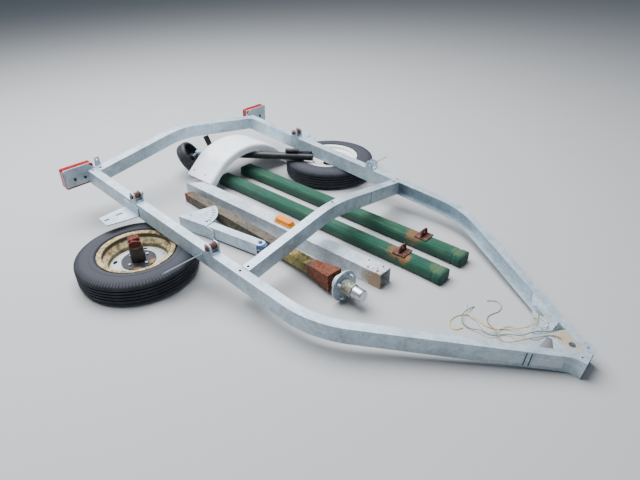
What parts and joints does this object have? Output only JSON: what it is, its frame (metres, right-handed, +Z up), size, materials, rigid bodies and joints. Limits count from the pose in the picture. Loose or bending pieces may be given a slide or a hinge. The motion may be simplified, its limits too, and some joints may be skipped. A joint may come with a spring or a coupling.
{
  "type": "dismantled boat trailer",
  "caption": "Small boat trailer taken apart: upside-down galvanised V-nose frame on its flat-lying wheels, with axle, tongue tube, carpeted bunks, fender, winch post and jack inside it.",
  "frame": {"origin": "bottom centre of the pile, on the ground", "axes": "+X from the frame's rear crossmember to its coupling end, +Y towards the wheel that lies outer side up, +Z up"},
  "size_m": [2.497, 1.88, 0.336],
  "materials": {
    "galvanised_rusty": "weathered galvanising with rust at the seat",
    "galvanised_steel": "galvanised, matt grey with spangle",
    "bright_cap": "bright zinc",
    "brown_wire": "brown",
    "green_carpet": "dark green marine carpet",
    "rusted_steel": "heavy brown rust",
    "white_rim": "gloss white enamel",
    "red_lens": "red lens",
    "tyre": "dusty black rubber",
    "white_fender": "white",
    "green_wire": "dark green",
    "black_paint": "black",
    "black_plastic": "dusty black",
    "ivory_rim": "ivory enamel, rust stained",
    "amber_lens": "amber lens",
    "white_wire": "white",
    "blue_paint": "dark blue",
    "yellow_wire": "pale yellow"
  },
  "bodies": {
    "trailer": {"axle_beam": "galvanised_rusty", "brown_wire": "brown_wire", "far_bunk": "green_carpet", "far_bunk_bracket": "rusted_steel", "far_front_fender_bracket": "galvanised_steel", "far_front_hanger": "galvanised_steel", "far_light_bracket": "galvanised_steel", "far_rear_fender_bracket": "galvanised_steel", "far_rear_hanger": "galvanised_steel", "far_rear_hanger_bolt": "rusted_steel", "far_rim": "white_rim", "far_side_rail": "galvanised_steel", "far_tail_light": "red_lens", "far_tyre": "tyre", "fender": "white_fender", "front_crossmember": "galvanised_steel", "green_wire": "green_wire", "jack_bracket": "black_paint", "jack_crank": "black_plastic", "jack_tube": "black_paint", "near_bunk": "green_carpet", "near_bunk_bracket": "rusted_steel", "near_front_fender_bracket": "galvanised_steel", "near_front_hanger": "galvanised_steel", "near_front_hanger_bolt": "rusted_steel", "near_hub": "black_paint", "near_light_bracket": "galvanised_steel", "near_rear_fender_bracket": "galvanised_steel", "near_rear_hanger": "galvanised_steel", "near_rear_hanger_bolt": "rusted_steel", "near_rim": "ivory_rim", "near_side_rail": "galvanised_steel", "near_tail_light": "red_lens", "near_tyre": "tyre", "rear_crossmember": "galvanised_steel", "side_marker_light": "amber_lens", "tongue_mounting_plate": "galvanised_steel", "tongue_tube": "galvanised_steel", "white_wire": "white_wire", "winch_post_arm": "galvanised_steel", "winch_post_clevis": "blue_paint", "winch_post_head": "galvanised_steel", "wiring_tab": "galvanised_steel", "yellow_wire": "yellow_wire"},
    "near_stub": {"near_spindle_stub": "rusted_steel"},
    "axle_hub": {"axle_hub": "galvanised_steel", "axle_hub_cap": "bright_cap"},
    "jack_leg": {"jack_leg": "galvanised_steel"},
    "jack_wheel": {"jack_wheel": "black_plastic"}
  },
  "joints": [
    {"name": "near_spindle_spin", "type": "hinge", "parent": "trailer", "child": "near_stub", "pos_m": [-0.47175, -0.674, 0.08], "axis": [0, 0, 1], "continuous": true},
    {"name": "axle_hub_spin", "type": "hinge", "parent": "trailer", "child": "axle_hub", "pos_m": [0.35324, -0.219, 0.0682], "axis": [0.9962, -0.0794, 0.0348], "continuous": true},
    {"name": "jack_leg_slide", "type": "slide", "parent": "trailer", "child": "jack_leg", "axis": [-0.8414, -0.5402, -0.017], "range_m": [0, 0.25]},
    {"name": "jack_wheel_spin", "type": "hinge", "parent": "jack_leg", "child": "jack_wheel", "pos_m": [-1.15475, 0.108, 0.1018], "axis": [0.6029, 0.5779, 0.5499], "continuous": true}
  ]
}
